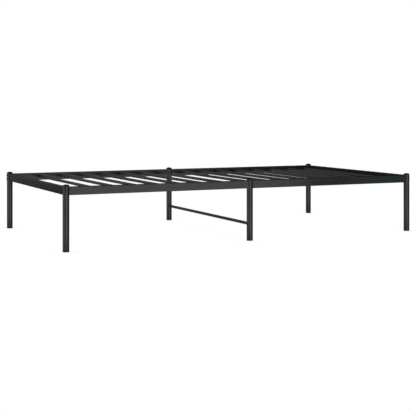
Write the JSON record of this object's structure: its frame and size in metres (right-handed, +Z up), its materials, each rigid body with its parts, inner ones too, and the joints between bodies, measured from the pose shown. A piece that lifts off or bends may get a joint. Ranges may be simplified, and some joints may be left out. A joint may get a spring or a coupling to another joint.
{
  "type": "bed frame",
  "caption": "Low metal bed frame: rectangular rails between round legs with domed caps, round cross slats, and a low stretcher between the middle legs.",
  "frame": {"origin": "on the floor, under the middle of the bed", "axes": "+X along the length, +Y across the width, +Z up"},
  "size_m": [1.9668, 1.0696, 0.3145],
  "materials": {
    "leg_powder_coat": "satin black powder coat with a fine orange peel",
    "rail_powder_coat": "satin black powder coat with a fine orange peel",
    "slat_powder_coat": "satin black powder coat",
    "cap_plastic": "moulded, fine matt grain",
    "foot_plastic": "moulded, matt",
    "bolt_black_steel": "black zinc",
    "plug_steel": "bare, hidden inside the rails"
  },
  "bodies": {
    "root": {"corner_leg_front_left": "leg_powder_coat", "corner_leg_back_left": "leg_powder_coat", "corner_leg_front_right": "leg_powder_coat", "corner_leg_back_right": "leg_powder_coat", "middle_leg_front": "leg_powder_coat", "middle_leg_back": "leg_powder_coat", "foot_cap_front_left": "foot_plastic", "foot_cap_back_left": "foot_plastic", "foot_cap_front_right": "foot_plastic", "foot_cap_back_right": "foot_plastic", "foot_cap_middle_front": "foot_plastic", "foot_cap_middle_back": "foot_plastic", "top_cap_front_left": "cap_plastic", "top_cap_back_left": "cap_plastic", "top_cap_front_right": "cap_plastic", "top_cap_back_right": "cap_plastic", "top_cap_middle_front": "cap_plastic", "top_cap_middle_back": "cap_plastic", "side_rail_front_left": "rail_powder_coat", "side_rail_front_right": "rail_powder_coat", "side_rail_back_left": "rail_powder_coat", "side_rail_back_right": "rail_powder_coat", "end_rail_left": "rail_powder_coat", "end_rail_right": "rail_powder_coat", "cross_slat_01": "slat_powder_coat", "cross_slat_02": "slat_powder_coat", "cross_slat_03": "slat_powder_coat", "cross_slat_04": "slat_powder_coat", "cross_slat_05": "slat_powder_coat", "cross_slat_06": "slat_powder_coat", "cross_slat_07": "slat_powder_coat", "cross_slat_08": "slat_powder_coat", "cross_slat_09": "slat_powder_coat", "cross_slat_10": "slat_powder_coat", "cross_slat_11": "slat_powder_coat", "cross_slat_12": "slat_powder_coat", "cross_slat_13": "slat_powder_coat", "cross_slat_14": "slat_powder_coat", "cross_slat_15": "slat_powder_coat", "cross_slat_16": "slat_powder_coat", "middle_stretcher": "rail_powder_coat", "rail_end_plug_front_left": "plug_steel", "corner_bolt_front_left_upper": "bolt_black_steel", "corner_bolt_front_left_lower": "bolt_black_steel", "joiner_bolt_front_left": "bolt_black_steel", "rail_end_plug_front_right": "plug_steel", "corner_bolt_front_right_upper": "bolt_black_steel", "corner_bolt_front_right_lower": "bolt_black_steel", "joiner_bolt_front_right": "bolt_black_steel", "rail_end_plug_back_left": "plug_steel", "corner_bolt_back_left_upper": "bolt_black_steel", "corner_bolt_back_left_lower": "bolt_black_steel", "joiner_bolt_back_left": "bolt_black_steel", "rail_end_plug_back_right": "plug_steel", "corner_bolt_back_right_upper": "bolt_black_steel", "corner_bolt_back_right_lower": "bolt_black_steel", "joiner_bolt_back_right": "bolt_black_steel", "rail_joiner_front": "plug_steel", "rail_joiner_back": "plug_steel"}
  },
  "joints": []
}
